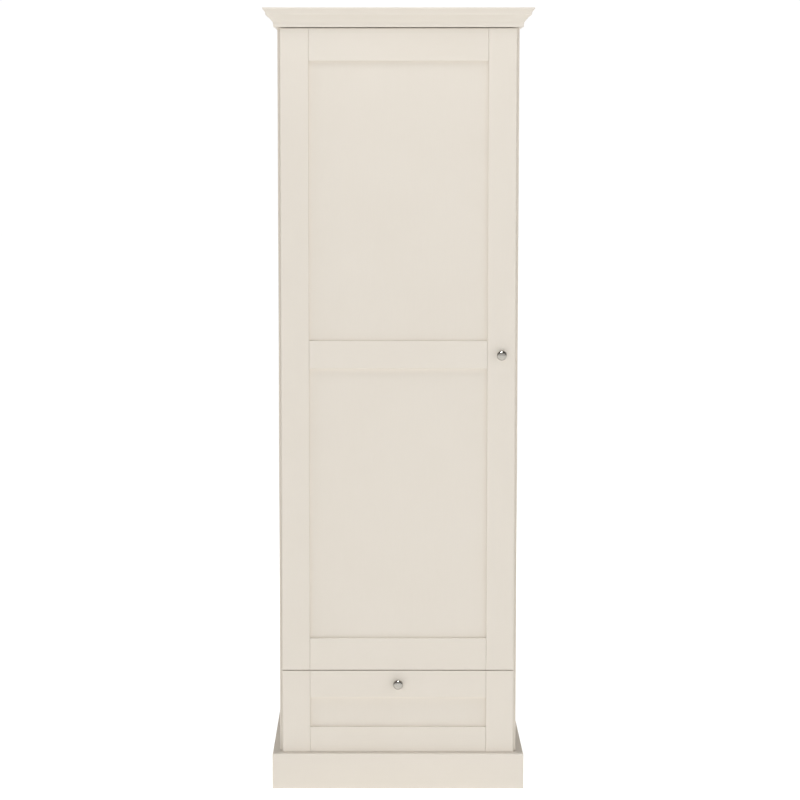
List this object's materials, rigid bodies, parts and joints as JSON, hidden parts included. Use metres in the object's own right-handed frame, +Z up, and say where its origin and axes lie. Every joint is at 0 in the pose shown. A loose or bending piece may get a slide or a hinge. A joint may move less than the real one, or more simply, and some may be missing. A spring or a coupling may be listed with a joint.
{
  "type": "hall wardrobe",
  "caption": "Narrow free-standing hall wardrobe in cream paint: a framed door over a hanging space, a framed drawer below, with a moulded cornice, a plinth and round knobs.",
  "frame": {"origin": "on the floor under the middle of the wardrobe's outline", "axes": "+Z up, -Y towards the front with the door and drawer, +X to the viewer's right when facing the front"},
  "size_m": [0.6696, 0.5568, 1.963],
  "materials": {
    "cream_paint": "satin cream paint on board",
    "back_board": "thin faced board",
    "drawer_wood": "pale lacquered timber",
    "satin_nickel": "satin nickel plate",
    "plated_steel": "bright zinc or nickel plate",
    "rail_steel": "chrome plate",
    "bumper_clear": "soft clear pad"
  },
  "bodies": {
    "carcass": {"left_side_panel": "cream_paint", "right_side_panel": "cream_paint", "top_panel": "cream_paint", "base_panel": "cream_paint", "drawer_divider": "cream_paint", "top_front_rail": "cream_paint", "top_back_rail": "cream_paint", "back_panel": "back_board", "plinth_back": "cream_paint", "plinth_packer": "cream_paint", "plinth_front": "cream_paint", "plinth_left": "cream_paint", "plinth_right": "cream_paint", "cornice_packer": "cream_paint", "cornice_front": "cream_paint", "cornice_left": "cream_paint", "cornice_right": "cream_paint", "hanging_rail": "rail_steel", "rail_socket_left": "rail_steel", "rail_socket_right": "rail_steel", "cabinet_runner_left": "plated_steel", "cabinet_runner_right": "plated_steel", "hinge_plate_lower": "plated_steel", "hinge_plate_middle": "plated_steel", "hinge_plate_upper": "plated_steel", "hinge_arm_lower": "plated_steel", "hinge_arm_middle": "plated_steel", "hinge_arm_upper": "plated_steel"},
    "hinge_links": {"hinge_link_lower": "plated_steel", "hinge_link_middle": "plated_steel", "hinge_link_upper": "plated_steel"},
    "door": {"door_left_stile": "cream_paint", "door_right_stile": "cream_paint", "door_bottom_rail": "cream_paint", "door_mid_rail": "cream_paint", "door_top_rail": "cream_paint", "door_lower_panel": "cream_paint", "door_upper_panel": "cream_paint", "door_knob": "satin_nickel", "door_knob_screw": "plated_steel", "door_bumper_lower": "bumper_clear", "door_bumper_upper": "bumper_clear", "hinge_cup_lower": "plated_steel", "hinge_cup_middle": "plated_steel", "hinge_cup_upper": "plated_steel"},
    "drawer": {"drawer_front_left_stile": "cream_paint", "drawer_front_right_stile": "cream_paint", "drawer_front_bottom_rail": "cream_paint", "drawer_front_top_rail": "cream_paint", "drawer_front_panel": "cream_paint", "drawer_box_front": "drawer_wood", "drawer_box_back": "drawer_wood", "drawer_box_left": "drawer_wood", "drawer_box_right": "drawer_wood", "drawer_bottom": "drawer_wood", "drawer_runner_left": "plated_steel", "drawer_runner_right": "plated_steel", "drawer_knob": "satin_nickel", "drawer_knob_screw": "plated_steel"}
  },
  "joints": [
    {"name": "hinge_link_turn", "type": "hinge", "parent": "carcass", "child": "hinge_links", "pos_m": [-0.261, -0.22025, 1], "axis": [0, 0, 1], "range_deg": [0, 40]},
    {"name": "door_swing", "type": "hinge", "parent": "hinge_links", "child": "door", "pos_m": [-0.2855, -0.22725, 1], "axis": [0, 0, -1], "range_deg": [0, 140]},
    {"name": "drawer_slide", "type": "slide", "parent": "carcass", "child": "drawer", "axis": [0, -1, 0], "range_m": [0, 0.34]}
  ],
  "couplings": [
    {"joint": "hinge_link_turn", "follows": "door_swing", "ratio": 0.25}
  ]
}
